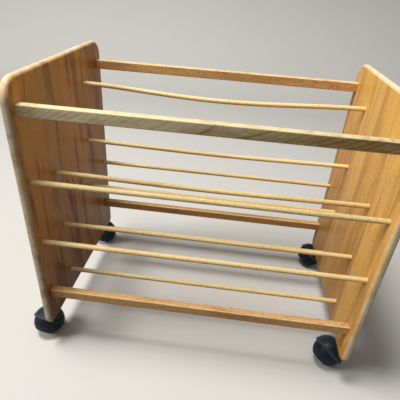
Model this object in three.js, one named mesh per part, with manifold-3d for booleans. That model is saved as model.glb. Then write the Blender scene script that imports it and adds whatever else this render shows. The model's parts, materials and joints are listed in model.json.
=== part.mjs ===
// Picture book browser bin: two solid wood sides joined by four rails and twelve dowels, on four
// hooded ball casters. Millimetres, +Z up. X runs along the dowels, -Y is the front, and the
// origin lies on the floor, midway between the two sides.
import * as THREE from 'three';
import { mergeVertices } from 'three/addons/utils/BufferGeometryUtils.js';
import Module from 'manifold-3d';

const wasm = await Module();
wasm.setup();

// Clearances
const GLUE_GAP = 0.3;
const RUN_GAP = 0.3;
const BLIND_END_GAP = 0.5;

// Side panels
const INNER_WIDTH = 774;
const PANEL_THICKNESS = 19;
const PANEL_DEPTH = 521;
const PANEL_HEIGHT = 657;
const TOP_CORNER_RADIUS = 45;
const BOTTOM_CORNER_RADIUS = 20;
const CORNER_STEPS = 6;
const EDGE_ROUND = 7.5;
const EDGE_ROUND_STEPS = 3;
const MOST_ROUND = 0.45;

// Rails: set back from the panels' front and back edges, with stub tenons in blind mortises
const RAIL_HEIGHT = 26;
const RAIL_THICKNESS = 19;
const RAIL_EASE = 3;
const RAIL_EASE_STEPS = 2;
const RAIL_SETBACK = 21.5;
const TOP_RAIL_DROP = 52.5;
const BOTTOM_RAIL_RISE = 85;
const TENON_LENGTH = 10;
const TENON_SHOULDER = 4;

// Dowels: the outer rows divide the space between the rails evenly. Each divider row runs from the
// bottom dowel's rise above the panels' bottom edge to the top dowel's drop below their top edge.
// off is how far the holes slipped from their even place, and sag is the bow in the middle.
const DOWEL_DIAMETER = 12.7;
const DOWEL_SIDES = 12;
const DOWEL_DEPTH = 10;
const DIVIDER_SPACING = 220;
const DIVIDER_RISE = 71.5;
const DIVIDER_DROP = 95;
const SAG_STEPS = 12;
const SLIGHT_SAG = 4;
const MIDDLE_SAG = 5;
const DEEP_SAG = 15;
const SMALL_SLIP = -1.5;
const MIDDLE_SLIP = -5;
const LARGE_SLIP = -7.5;
const OUTER_PLACES = ['lower', 'upper'];
const FRONT_DIVIDER = [
  { place: 'bottom', off: 0, sag: 0 },
  { place: 'lower', off: SMALL_SLIP, sag: 0 },
  { place: 'upper', off: LARGE_SLIP, sag: SLIGHT_SAG },
  { place: 'top', off: MIDDLE_SLIP, sag: 0 },
];
const BACK_DIVIDER = [
  { place: 'bottom', off: 0, sag: 0 },
  { place: 'lower', off: SMALL_SLIP, sag: 0 },
  { place: 'upper', off: LARGE_SLIP, sag: MIDDLE_SAG },
  { place: 'top', off: 0, sag: DEEP_SAG },
];

// Caster wheel: the ball's centre trails behind the stem, and the axle slopes down to the wheel
const CASTER_INSET = 46;
const CASTER_TRAIL = 34;
const AXLE_SLOPE = THREE.MathUtils.degToRad(40);
const WHEEL_RADIUS = 40;
const WHEEL_WALL = 4.5;
const WHEEL_TUCK = 3;
const WHEEL_SIDES = 18;
const TREAD_WIDTH = 12;
const FACE_LAND = 4.6;
const FACE_RIM = 6;
const FACE_STEP = 0.9;
const HUB_RADIUS = 9;
const HUB_CAP_RADIUS = 11;
const HUB_CAP_THICKNESS = 2.6;
const HUB_CAP_PROUD = 1.2;

// Caster hood and axle
const HOOD_WALL = 2.4;
const HOOD_RUNNING_GAP = 1.2;
const HOOD_PANEL_GAP = 5.4;
const HOOD_SIDES = 18;
const BEAD_HEIGHT = 1.4;
const BEAD_WIDTH = 3.2;
const AXLE_RADIUS = 4;
const AXLE_SEAT = 27;
const AXLE_BOSS_RADIUS = 8;
const AXLE_BOSS_END = 4;
const AXLE_HEAD_RADIUS = 6.6;
const AXLE_HEAD_THICKNESS = 2.6;

// Caster stem, its boss on the hood and its socket in the panel
const STEM_RADIUS = 4;
const STEM_NECK_CUT = 0.8;
const STEM_NECK_LENGTH = 4;
const STEM_TIP_LENGTH = 4;
const STEM_COLLAR_RADIUS = 6.6;
const STEM_COLLAR_THICKNESS = 1.5;
const STEM_BOSS_WALL = 4.2;
const STEM_BOSS_TAPER = 14;
const STEM_BOSS_FOOT = 3;
const SOCKET_WALL = 0.8;
const SOCKET_LENGTH = 36;
const SOCKET_FLANGE_WIDTH = 1.5;
const SOCKET_FLANGE_THICKNESS = 1.2;
const PIN_SIDES = 10;

// The direction in degrees, seen from above, in which each caster's ball lies from its stem
const CASTERS = [
  { corner: 'front_left', side: -1, end: -1, trailing: 165 },
  { corner: 'front_right', side: 1, end: -1, trailing: 122 },
  { corner: 'back_left', side: -1, end: 1, trailing: 118 },
  { corner: 'back_right', side: 1, end: 1, trailing: 108 },
];
const ROWS = [
  { row: 'front', end: -1, divider: FRONT_DIVIDER },
  { row: 'back', end: 1, divider: BACK_DIVIDER },
];

// Places that follow from the sizes
const WELD_DISTANCE = 1e-3;
const PANEL_MIDDLE = (INNER_WIDTH + PANEL_THICKNESS) / 2;
const HOOD_INNER = WHEEL_RADIUS + HOOD_RUNNING_GAP;
const HOOD_OUTER = HOOD_INNER + HOOD_WALL;
const PANEL_BOTTOM = WHEEL_RADIUS + HOOD_OUTER + HOOD_PANEL_GAP;
const OUTER_ROW = PANEL_DEPTH / 2 - RAIL_SETBACK - RAIL_THICKNESS / 2;
const TOP_RAIL = PANEL_BOTTOM + PANEL_HEIGHT - TOP_RAIL_DROP - RAIL_HEIGHT / 2;
const BOTTOM_RAIL = PANEL_BOTTOM + BOTTOM_RAIL_RISE + RAIL_HEIGHT / 2;
const LOWEST_DIVIDER = PANEL_BOTTOM + DIVIDER_RISE;
const HIGHEST_DIVIDER = PANEL_BOTTOM + PANEL_HEIGHT - DIVIDER_DROP;

// Heights along a caster's stem
const FLANGE_TOP = PANEL_BOTTOM - GLUE_GAP;
const FLANGE_BOTTOM = FLANGE_TOP - SOCKET_FLANGE_THICKNESS;
const COLLAR_TOP = FLANGE_BOTTOM - RUN_GAP;
const COLLAR_BOTTOM = COLLAR_TOP - STEM_COLLAR_THICKNESS;
const BOSS_TOP = COLLAR_BOTTOM - GLUE_GAP;
const STEM_SEAT_RADIUS = STEM_RADIUS + GLUE_GAP;
const STEM_SEAT_OFFSET = CASTER_TRAIL - STEM_SEAT_RADIUS;
const STEM_SEAT = WHEEL_RADIUS + Math.sqrt(Math.max(0, HOOD_OUTER ** 2 - STEM_SEAT_OFFSET ** 2));
const STEM_TIP = PANEL_BOTTOM + SOCKET_LENGTH - BLIND_END_GAP;
const SOCKET_BORE = STEM_RADIUS + RUN_GAP;
const SOCKET_OUTSIDE = SOCKET_BORE + SOCKET_WALL;

// Places along a caster's axle, from the ball's centre towards the wheel's face
const TREAD_ANGLE = Math.atan(TREAD_WIDTH / 2 / WHEEL_RADIUS);
const FACE_ANGLE = AXLE_SLOPE + TREAD_ANGLE + FACE_LAND / WHEEL_RADIUS;
const WHEEL_FACE = WHEEL_RADIUS * Math.sin(FACE_ANGLE);
const FACE_RADIUS = WHEEL_RADIUS * Math.cos(FACE_ANGLE);
const FACE_FLOOR = WHEEL_FACE - FACE_STEP;
const CAP_SEAT = FACE_FLOOR + HUB_CAP_PROUD - HUB_CAP_THICKNESS;
const HEAD_SEAT = CAP_SEAT - AXLE_HEAD_THICKNESS - 2 * RUN_GAP;
const AXLE_ROOT = -AXLE_BOSS_END - AXLE_SEAT;
const HOOD_LIP_ANGLE = Math.asin((WHEEL_TUCK + HOOD_RUNNING_GAP) / HOOD_INNER);

function wood(color) {
  return new THREE.MeshStandardMaterial({ color, roughness: 0.38, metalness: 0 });
}

function steel(color) {
  return new THREE.MeshStandardMaterial({ color, roughness: 0.32, metalness: 1 });
}

function plastic(color, roughness) {
  return new THREE.MeshStandardMaterial({ color, roughness, metalness: 0 });
}

// A closed solid for cutting and joining, from a geometry's welded corners
function toSolid(geometry) {
  const bare = geometry.clone();
  bare.deleteAttribute('normal');
  bare.deleteAttribute('uv');
  const welded = mergeVertices(bare, WELD_DISTANCE);
  const corners = welded.index.array;
  const kept = [];
  for (let i = 0; i < corners.length; i += 3) {
    const [a, b, c] = corners.slice(i, i + 3);
    if (a !== b && b !== c && c !== a) kept.push(a, b, c);
  }
  const vertProperties = Float32Array.from(welded.attributes.position.array);
  const triVerts = Uint32Array.from(kept);
  return new wasm.Manifold(new wasm.Mesh({ numProp: 3, vertProperties, triVerts }));
}

function toGeometry(solid) {
  const { vertProperties, triVerts } = solid.getMesh();
  const geometry = new THREE.BufferGeometry();
  geometry.setAttribute('position', new THREE.BufferAttribute(vertProperties, 3));
  geometry.setIndex(new THREE.BufferAttribute(triVerts, 1));
  geometry.computeVertexNormals();
  return geometry;
}

// A rectangle centred on x and starting at y = 0, with one radius at its bottom corners and
// another at its top corners
function roundedOutline(width, height, bottomRadius, topRadius) {
  const half = width / 2;
  const outline = new THREE.Shape();
  outline.moveTo(half, bottomRadius);
  outline.lineTo(half, height - topRadius);
  outline.absarc(half - topRadius, height - topRadius, topRadius, 0, Math.PI / 2);
  outline.lineTo(topRadius - half, height);
  outline.absarc(topRadius - half, height - topRadius, topRadius, Math.PI / 2, Math.PI);
  outline.lineTo(-half, bottomRadius);
  outline.absarc(bottomRadius - half, bottomRadius, bottomRadius, Math.PI, 1.5 * Math.PI);
  outline.lineTo(half - bottomRadius, 0);
  outline.absarc(half - bottomRadius, bottomRadius, bottomRadius, 1.5 * Math.PI, 2 * Math.PI);
  return outline;
}

// Turns a geometry drawn in x and y and extruded along z: it is then drawn in Y and Z, along X
function layAlongX(geometry) {
  const xAxis = new THREE.Vector3(1, 0, 0);
  const yAxis = new THREE.Vector3(0, 1, 0);
  const zAxis = new THREE.Vector3(0, 0, 1);
  return geometry.applyMatrix4(new THREE.Matrix4().makeBasis(yAxis, zAxis, xAxis));
}

// Revolves a profile of [radius, height] points about Z, with the middle of a flat side at +Y
function revolve(profile, sides) {
  const points = profile.map(([radius, height]) => new THREE.Vector2(radius, height));
  if (THREE.ShapeUtils.isClockWise(points)) points.reverse();
  if (points[0].x > 0) points.push(points[0].clone());
  return new THREE.LatheGeometry(points, sides, Math.PI + Math.PI / sides).rotateX(Math.PI / 2);
}

// A plain round bar about Z
function roundBar(radius, bottom, top, sides) {
  return revolve([[0, bottom], [radius, bottom], [radius, top], [0, top]], sides);
}

// Points of a profile on a circle about its origin, between two angles above the radius
function profileArc(radius, from, to, steps) {
  const points = [];
  for (let i = 0; i <= steps; i += 1) {
    const angle = from + ((to - from) * i) / steps;
    points.push([radius * Math.cos(angle), radius * Math.sin(angle)]);
  }
  return points;
}

// A span fixed at both ends that has sagged under load, with straight ends inside its holes
class SaggedSpan extends THREE.Curve {
  constructor(depth, sag) {
    super();
    this.depth = depth;
    this.sag = sag;
  }

  getPoint(t, target = new THREE.Vector3()) {
    const x = (t - 0.5) * (INNER_WIDTH + 2 * this.depth);
    const along = THREE.MathUtils.clamp(x / INNER_WIDTH + 0.5, 0, 1);
    return target.set(x, 0, -this.sag * 16 * along ** 2 * (1 - along) ** 2);
  }
}

// A dowel, or the bar that bores its holes, along X from hole to hole
function dowelGeometry(radius, depth, sag) {
  const section = [];
  for (let i = 0; i < DOWEL_SIDES; i += 1) {
    const angle = (2 * Math.PI * i) / DOWEL_SIDES;
    section.push(new THREE.Vector2(radius * Math.cos(angle), radius * Math.sin(angle)));
  }
  const extrudePath = new SaggedSpan(depth, sag);
  const steps = sag > 0 ? SAG_STEPS : 1;
  return new THREE.ExtrudeGeometry(new THREE.Shape(section), { steps, extrudePath });
}

// The dowels of one row, with their names and places
function listRowDowels({ row, end, divider }) {
  const outerStep = (TOP_RAIL - BOTTOM_RAIL) / (OUTER_PLACES.length + 1);
  const dividerStep = (HIGHEST_DIVIDER - LOWEST_DIVIDER) / (divider.length - 1);
  const outer = OUTER_PLACES.map((place, i) => ({
    name: `${row}_dowel_${place}`,
    y: end * OUTER_ROW,
    z: BOTTOM_RAIL + (i + 1) * outerStep,
    sag: 0,
  }));
  const inner = divider.map(({ place, off, sag }, i) => ({
    name: `${row}_divider_dowel_${place}`,
    y: (end * DIVIDER_SPACING) / 2,
    z: LOWEST_DIVIDER + i * dividerStep + off,
    sag,
  }));
  return [...outer, ...inner];
}

const DOWELS = ROWS.flatMap(listRowDowels);
const RAILS = ROWS.flatMap(({ row, end }) => [
  { name: `top_${row}_rail`, y: end * OUTER_ROW, z: TOP_RAIL },
  { name: `bottom_${row}_rail`, y: end * OUTER_ROW, z: BOTTOM_RAIL },
]);

// A bar of the tenons' section, grown by a clearance, from the end of one tenon to the other's
function tenonBar(clearance, endGap) {
  const length = INNER_WIDTH + 2 * (TENON_LENGTH + endGap);
  const thickness = RAIL_THICKNESS - 2 * TENON_SHOULDER + 2 * clearance;
  const height = RAIL_HEIGHT - 2 * TENON_SHOULDER + 2 * clearance;
  return new THREE.BoxGeometry(length, thickness, height);
}

// A rail with eased edges, whose ends step down to stub tenons
function railGeometry() {
  const depth = INNER_WIDTH - 2 * GLUE_GAP;
  const section = roundedOutline(RAIL_THICKNESS, RAIL_HEIGHT, RAIL_EASE, RAIL_EASE);
  const settings = { depth, bevelEnabled: false, curveSegments: RAIL_EASE_STEPS };
  const bar = layAlongX(new THREE.ExtrudeGeometry(section, settings));
  bar.translate(-depth / 2, 0, -RAIL_HEIGHT / 2);
  return toGeometry(toSolid(bar).add(toSolid(tenonBar(0, 0))));
}

// A panel's outline with rounded edges, before any hole is cut
function panelBlank() {
  const round = Math.min(EDGE_ROUND, MOST_ROUND * PANEL_THICKNESS);
  const outline = roundedOutline(PANEL_DEPTH, PANEL_HEIGHT, BOTTOM_CORNER_RADIUS, TOP_CORNER_RADIUS);
  const depth = PANEL_THICKNESS - 2 * round;
  const blank = new THREE.ExtrudeGeometry(outline, {
    depth,
    curveSegments: CORNER_STEPS,
    bevelThickness: round,
    bevelSize: round,
    bevelOffset: -round,
    bevelSegments: EDGE_ROUND_STEPS,
  });
  return layAlongX(blank).translate(-depth / 2, 0, PANEL_BOTTOM);
}

// A side panel, bored for the dowels, mortised for the rails and drilled for the caster sockets
function panelGeometry(side) {
  let panel = toSolid(panelBlank().translate(side * PANEL_MIDDLE, 0, 0));
  const cut = (tool, x, y, z) => {
    panel = panel.subtract(tool.translate([x, y, z]));
  };
  const bore = toSolid(dowelGeometry(DOWEL_DIAMETER / 2 + GLUE_GAP, DOWEL_DEPTH + BLIND_END_GAP, 0));
  const mortise = toSolid(tenonBar(GLUE_GAP, BLIND_END_GAP));
  const drillEnd = SOCKET_LENGTH + BLIND_END_GAP;
  const drill = toSolid(roundBar(SOCKET_OUTSIDE + GLUE_GAP, -drillEnd, drillEnd, PIN_SIDES));
  for (const { y, z } of DOWELS) cut(bore, 0, y, z);
  for (const { y, z } of RAILS) cut(mortise, 0, y, z);
  for (const { end } of ROWS) cut(drill, side * PANEL_MIDDLE, casterPlace(end), PANEL_BOTTOM);
  return toGeometry(panel);
}

function casterPlace(end) {
  return end * (PANEL_DEPTH / 2 - CASTER_INSET);
}

// A steel sleeve with a flange under the panel and a lip that snaps into the stem's neck
function socketGeometry() {
  const flange = SOCKET_OUTSIDE + SOCKET_FLANGE_WIDTH;
  const lip = SOCKET_BORE - STEM_NECK_CUT;
  const lipTop = STEM_TIP - STEM_TIP_LENGTH - RUN_GAP;
  const lipBottom = STEM_TIP - STEM_TIP_LENGTH - STEM_NECK_LENGTH + RUN_GAP;
  const end = PANEL_BOTTOM + SOCKET_LENGTH;
  return revolve([
    [SOCKET_BORE, FLANGE_BOTTOM],
    [flange, FLANGE_BOTTOM],
    [flange, FLANGE_TOP],
    [SOCKET_OUTSIDE, FLANGE_TOP],
    [SOCKET_OUTSIDE, end],
    [SOCKET_BORE, end],
    [SOCKET_BORE, lipTop],
    [lip, lipTop],
    [lip, lipBottom],
    [SOCKET_BORE, lipBottom],
  ], PIN_SIDES);
}

// The swivel stem: seated in the hood's boss, with a collar, a grip neck and a tapered tip
function stemGeometry() {
  const neck = STEM_RADIUS - STEM_NECK_CUT;
  const neckTop = STEM_TIP - STEM_TIP_LENGTH;
  const neckBottom = neckTop - STEM_NECK_LENGTH;
  const seat = STEM_SEAT + GLUE_GAP;
  return revolve([
    [0, seat],
    [STEM_RADIUS, seat],
    [STEM_RADIUS, COLLAR_BOTTOM],
    [STEM_COLLAR_RADIUS, COLLAR_BOTTOM],
    [STEM_COLLAR_RADIUS, COLLAR_TOP],
    [STEM_RADIUS, COLLAR_TOP],
    [STEM_RADIUS, neckBottom],
    [neck, neckBottom],
    [neck, neckTop],
    [STEM_RADIUS, neckTop],
    [STEM_RADIUS, STEM_TIP - STEM_TIP_LENGTH / 2],
    [neck / 2, STEM_TIP],
    [0, STEM_TIP],
  ], PIN_SIDES);
}

// Turns a piece revolved about Z onto the axle, with its origin at the ball's centre and its +Y
// side facing down
function layOnAxle(object) {
  object.position.set(CASTER_TRAIL, 0, WHEEL_RADIUS);
  object.rotation.set(-Math.PI / 2 - AXLE_SLOPE, 0, 0);
  object.updateMatrix();
  return object;
}

// The outside of the hood about the axle: a half ball with two beads round its rim
function hoodOutside() {
  const flank = BEAD_WIDTH / 4;
  const bead = (end) => [
    [HOOD_OUTER, end - BEAD_WIDTH],
    [HOOD_OUTER + BEAD_HEIGHT, end - BEAD_WIDTH + flank],
    [HOOD_OUTER + BEAD_HEIGHT, end - flank],
  ];
  const domeEdge = -Math.asin((2 * BEAD_WIDTH) / HOOD_OUTER);
  return revolve([
    [0, -HOOD_OUTER],
    ...profileArc(HOOD_OUTER, -Math.PI / 2, domeEdge, 5).slice(1, -1),
    ...bead(-BEAD_WIDTH),
    ...bead(0),
    [HOOD_OUTER, 0],
    [0, 0],
  ], HOOD_SIDES);
}

// The ball of space for the wheel, round a boss that is left standing for the axle. It is grown so
// that its flat sides, not their corners, lie on the sphere.
function hoodInside() {
  const grow = 1 / Math.cos(Math.PI / HOOD_SIDES);
  const bossRoot = -Math.acos(AXLE_BOSS_RADIUS / HOOD_INNER);
  return revolve([
    [0, -AXLE_BOSS_END],
    [AXLE_BOSS_RADIUS, -AXLE_BOSS_END],
    [AXLE_BOSS_RADIUS, HOOD_INNER * Math.sin(bossRoot)],
    ...profileArc(HOOD_INNER * grow, bossRoot, -HOOD_LIP_ANGLE, 4).slice(1),
    ...profileArc(HOOD_INNER * grow, HOOD_LIP_ANGLE, Math.PI / 2, 3),
  ], HOOD_SIDES);
}

// The hood: a shell with an upright boss that holds the stem and a blind boss inside for the axle
function hoodGeometry() {
  const { matrix } = layOnAxle(new THREE.Object3D());
  const bossRadius = STEM_SEAT_RADIUS + STEM_BOSS_WALL;
  const bossFoot = STEM_SEAT - STEM_BOSS_TAPER;
  const stemBoss = revolve([
    [0, bossFoot],
    [STEM_BOSS_FOOT, bossFoot],
    [bossRadius, STEM_SEAT],
    [bossRadius, BOSS_TOP],
    [0, BOSS_TOP],
  ], PIN_SIDES);
  const stemSeat = roundBar(STEM_SEAT_RADIUS, STEM_SEAT, PANEL_BOTTOM, PIN_SIDES);
  const axleSeat = roundBar(AXLE_RADIUS + GLUE_GAP, AXLE_ROOT - GLUE_GAP, 0, PIN_SIDES);
  const shell = toSolid(hoodOutside().applyMatrix4(matrix))
    .add(toSolid(stemBoss))
    .subtract(toSolid(hoodInside().applyMatrix4(matrix)));
  return toGeometry(shell.subtract(toSolid(stemSeat)).subtract(toSolid(axleSeat.applyMatrix4(matrix))));
}

// The wheel: a cup with a spherical outside, a straight tread on the floor and a stepped face. Its
// outside is grown so that the flat sides, not their corners, lie on the sphere.
function wheelGeometry() {
  const grow = 1 / Math.cos(Math.PI / WHEEL_SIDES);
  const outside = ([radius, height]) => [radius * grow, height];
  const treadEdge = Math.hypot(WHEEL_RADIUS, TREAD_WIDTH / 2);
  const tuck = -Math.asin(WHEEL_TUCK / WHEEL_RADIUS);
  const inner = WHEEL_RADIUS - WHEEL_WALL;
  const web = HEAD_SEAT - WHEEL_WALL;
  const bore = AXLE_RADIUS + RUN_GAP;
  const headRecess = AXLE_HEAD_RADIUS + RUN_GAP;
  const capRecess = HUB_CAP_RADIUS + RUN_GAP;
  const hubEnd = RUN_GAP - AXLE_BOSS_END;
  return revolve([
    [bore, hubEnd],
    [HUB_RADIUS, hubEnd],
    [HUB_RADIUS, web],
    ...profileArc(inner, Math.asin(web / inner), tuck, 3),
    ...profileArc(WHEEL_RADIUS, tuck, AXLE_SLOPE - 2 * TREAD_ANGLE, 2).map(outside),
    ...profileArc(treadEdge, AXLE_SLOPE - TREAD_ANGLE, AXLE_SLOPE + TREAD_ANGLE, 1).map(outside),
    outside([FACE_RADIUS, WHEEL_FACE]),
    [FACE_RADIUS - FACE_RIM, WHEEL_FACE],
    [FACE_RADIUS - FACE_RIM - FACE_STEP, FACE_FLOOR],
    [capRecess, FACE_FLOOR],
    [capRecess, CAP_SEAT],
    [headRecess, CAP_SEAT],
    [headRecess, HEAD_SEAT],
    [bore, HEAD_SEAT],
  ], WHEEL_SIDES);
}

// The axle pin: pressed into the hood's boss, with a head that keeps the wheel on
function axleGeometry() {
  const headBottom = HEAD_SEAT + RUN_GAP;
  const headTop = headBottom + AXLE_HEAD_THICKNESS;
  return revolve([
    [0, AXLE_ROOT],
    [AXLE_RADIUS, AXLE_ROOT],
    [AXLE_RADIUS, headBottom],
    [AXLE_HEAD_RADIUS, headBottom],
    [AXLE_HEAD_RADIUS, headTop],
    [0, headTop],
  ], PIN_SIDES);
}

// A low cap with a chamfered edge that covers the axle's head
function hubCapGeometry() {
  const bottom = CAP_SEAT + GLUE_GAP;
  const top = CAP_SEAT + HUB_CAP_THICKNESS;
  return revolve([
    [0, bottom],
    [HUB_CAP_RADIUS, bottom],
    [HUB_CAP_RADIUS, top - HUB_CAP_PROUD / 2],
    [HUB_CAP_RADIUS - HUB_CAP_PROUD, top],
    [0, top],
  ], WHEEL_SIDES);
}

function namedMesh(name, geometry, material) {
  const mesh = new THREE.Mesh(geometry, material);
  mesh.name = name;
  return mesh;
}

function buildPanels() {
  const panels = new THREE.Group();
  panels.add(namedMesh('left_side_panel', panelGeometry(-1), wood(0xb9783f)));
  panels.add(namedMesh('right_side_panel', panelGeometry(1), wood(0xd9a055)));
  return panels;
}

function buildRails() {
  const rails = new THREE.Group();
  for (const { name, y, z } of RAILS) {
    const rail = namedMesh(name, railGeometry(), wood(0xc79a62));
    rail.position.set(0, y, z);
    rails.add(rail);
  }
  return rails;
}

function buildDowels() {
  const dowels = new THREE.Group();
  for (const { name, y, z, sag } of DOWELS) {
    const dowel = namedMesh(name, dowelGeometry(DOWEL_DIAMETER / 2, DOWEL_DEPTH, sag), wood(0xdfb777));
    dowel.position.set(0, y, z);
    dowels.add(dowel);
  }
  return dowels;
}

// One caster under a panel's bottom edge, turned about its stem to its rest direction
function buildCaster({ corner, side, end, trailing }) {
  const turning = new THREE.Group();
  turning.rotation.z = THREE.MathUtils.degToRad(trailing);
  turning.add(
    namedMesh(`caster_stem_${corner}`, stemGeometry(), steel(0x9a9893)),
    namedMesh(`caster_hood_${corner}`, hoodGeometry(), plastic(0x3b4145, 0.42)),
    layOnAxle(namedMesh(`caster_axle_${corner}`, axleGeometry(), steel(0x9a9893))),
    layOnAxle(namedMesh(`caster_wheel_${corner}`, wheelGeometry(), plastic(0x15181b, 0.5))),
    layOnAxle(namedMesh(`caster_hub_cap_${corner}`, hubCapGeometry(), plastic(0x1d2124, 0.4))),
  );
  const caster = new THREE.Group();
  caster.position.set(side * PANEL_MIDDLE, casterPlace(end), 0);
  caster.add(namedMesh(`caster_socket_${corner}`, socketGeometry(), steel(0x8c8a86)), turning);
  return caster;
}

const bin = new THREE.Group();
bin.add(buildPanels(), buildRails(), buildDowels(), ...CASTERS.map(buildCaster));

export default bin;
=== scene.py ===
"""Dresses the picture book browser bin: lacquered wood sides, rails and dowels on hooded ball casters.

Everything is in metres, in the frame of the CAD model: +Z up, X along the dowels and -Y to the front.
"""

import json
from math import acos, asin, atan, atan2, cos, hypot, pi, radians, sin, sqrt

import bmesh
import bpy
from mathutils import Matrix, Vector


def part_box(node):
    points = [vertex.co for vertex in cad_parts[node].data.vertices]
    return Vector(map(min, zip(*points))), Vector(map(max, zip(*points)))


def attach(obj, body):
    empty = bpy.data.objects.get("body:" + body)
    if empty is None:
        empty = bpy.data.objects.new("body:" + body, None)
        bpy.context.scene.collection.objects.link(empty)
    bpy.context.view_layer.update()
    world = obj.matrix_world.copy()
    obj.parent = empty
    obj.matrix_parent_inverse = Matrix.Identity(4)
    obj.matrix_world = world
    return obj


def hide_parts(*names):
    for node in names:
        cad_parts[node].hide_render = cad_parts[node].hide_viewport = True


bl_info = {
    "name": "Book browser bin",
    "version": (1, 0, 0),
    "blender": (4, 5, 0),
    "location": "3D View > Sidebar > Book bin",
    "description": "Builds the visible wood and casters of a picture book browser bin round its CAD frame",
    "category": "Object",
}

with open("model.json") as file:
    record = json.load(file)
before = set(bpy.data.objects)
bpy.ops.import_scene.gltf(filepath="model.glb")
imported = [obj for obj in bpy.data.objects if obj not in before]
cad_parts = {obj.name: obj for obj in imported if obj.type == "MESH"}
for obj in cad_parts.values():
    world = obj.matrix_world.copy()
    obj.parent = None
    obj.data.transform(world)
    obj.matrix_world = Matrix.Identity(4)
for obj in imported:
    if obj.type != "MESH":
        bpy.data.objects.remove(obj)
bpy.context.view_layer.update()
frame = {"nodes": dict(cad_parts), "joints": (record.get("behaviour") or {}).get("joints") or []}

ROOT = "frame"
PANELS = ("left_side_panel", "right_side_panel")
RAILS = ("top_front_rail", "top_back_rail", "bottom_front_rail", "bottom_back_rail")
DOWELS = sorted(name for name in frame["nodes"] if "dowel" in name)
CORNERS = ("front_left", "front_right", "back_left", "back_right")
JOINTS = {joint["name"]: joint for joint in frame["joints"]}

PANEL_LOW, PANEL_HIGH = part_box("right_side_panel")
PANEL_MIDDLE = (PANEL_LOW.x + PANEL_HIGH.x) / 2
PANEL_THICKNESS = PANEL_HIGH.x - PANEL_LOW.x
INNER_FACE = PANEL_LOW.x
QUARTER = pi / 2

# Where the photograph was taken from
CAMERA_PLACE = Vector((0.0359, -0.9179, 0.9343))
CAMERA_FORWARD = Vector((-0.05983, 0.85427, -0.51638))
CAMERA_ROLL = radians(4.25)
CAMERA_LENS = 33.77
CAMERA_SENSOR = 36.0

# Studio light; the background and the floor show paler than the light they give
LAMPS = {
    "Key": {"place": (-1.0, -0.4, 4.8), "size": 1.4, "power": 212.0, "color": (1.0, 0.965, 0.90)},
    "Left fill": {"place": (-4.2, -1.4, 3.2), "size": 2.0, "power": 145.0, "color": (1.0, 0.985, 0.96)},
}
LAMP_AIM = Vector((0.0, 0.0, 0.35))
SKY_COLOR = (1.0, 0.965, 0.91)
SKY_LIGHT = 0.25
SKY_SEEN = 0.60
FLOOR_BOUNCE = 0.1

# Repeats to the metre of each figure; in wood they go along, across and through the grain
BEND_SCALE = (3.0, 6.0, 6.0)
STREAK_SCALE = (4.0, 28.0, 28.0)
PORE_SCALE = (130.0, 330.0, 330.0)
KNOT_SCALE = (4.0, 15.0, 15.0)
SCUFF_SCALE = (18.0, 150.0, 150.0)
TURNING_SCALE = (60.0, 60.0, 2400.0)

# Where each figure starts and is at its full strength
LATE_WOOD = (0.45, 0.92)
RING_END = (1.0, 0.94)
STREAK_RANGE = (0.46, 0.62)
PORE_RANGE = (0.54, 0.64)
PORE_SEASON = (0.95, 0.5)
KNOT_EDGE = (0.17, 0.06)
KNOT_CHANCE = (0.80, 0.84)
PATCH_RANGE = (0.32, 0.62)
SCUFF_RANGE = (0.66, 0.78)

# Least and greatest strength of a year's ring and of a rubbed patch
RING_STRENGTH = (0.25, 1.0)
PATCH_STRENGTH = (0.4, 1.0)

# How far a seed moves the figure, and the seeds of boards, sticks and plastic
SEED_SHIFT = (3.17, 1.73, 2.39)
BOARD_SEEDS = 41.0
STICK_SEEDS = 23.0
PLASTIC_SEED = 4.0

# Lacquer: shares of the marks in its colour, and how they change its gloss and relief
KNOT_SHARE = 0.70
# The rubbed share also carries the painted highlight on the tops of rails and dowels.
RUBBED_AND_SHEEN_SHARE = 0.85
SCUFF_SHARE = 0.16
LACQUER_ROUGH = 0.32
CLOUDY_ROUGH = 0.18
SCUFF_ROUGH = 0.16
COAT_RANGE = (0.07, 0.02)
RING_RELIEF = 0.25
PORE_RELIEF = 0.8

# Boards of a panel: ranges that each board draws from, the grey ones and the glue lines
BOARD_SPREAD = 0.75
BOARD_RINGS = (0.005, 0.011)
BOARD_HEART = (-0.04, 0.04)
BOARD_HEART_DEPTH = (0.025, 0.060)
BOARD_LEAN = (-0.09, 0.09)
BOARD_WANDER = 0.045
BOARD_FLECKS = 0.25
GREY_CHANCE = (0.55, 1.0)
GREY_RANGE = (0.0, 0.45)
GLUE_LINE = (0.014, 0.002)
GLUE_SHARE = 0.25

# Figure of each wood; the shares say how much each thing darkens it, such as the way back, and the way
# down, which is painted shade
LEFT_FIGURE = {
    "board_width": 0.060,
    "seed": 11.3,
    # Painted shade: the down share darkens the panel towards its foot.
    "shares": {"rings": 0.20, "streaks": 0.52, "board": 0.22, "back": 0.0, "down": 0.56},
}
RIGHT_FIGURE = {
    "board_width": 0.074,
    "seed": 3.7,
    # Painted shade: the down share darkens the panel towards its foot.
    "shares": {"rings": 0.18, "streaks": 0.40, "board": 0.30, "back": 0.32, "down": 0.45},
}
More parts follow.
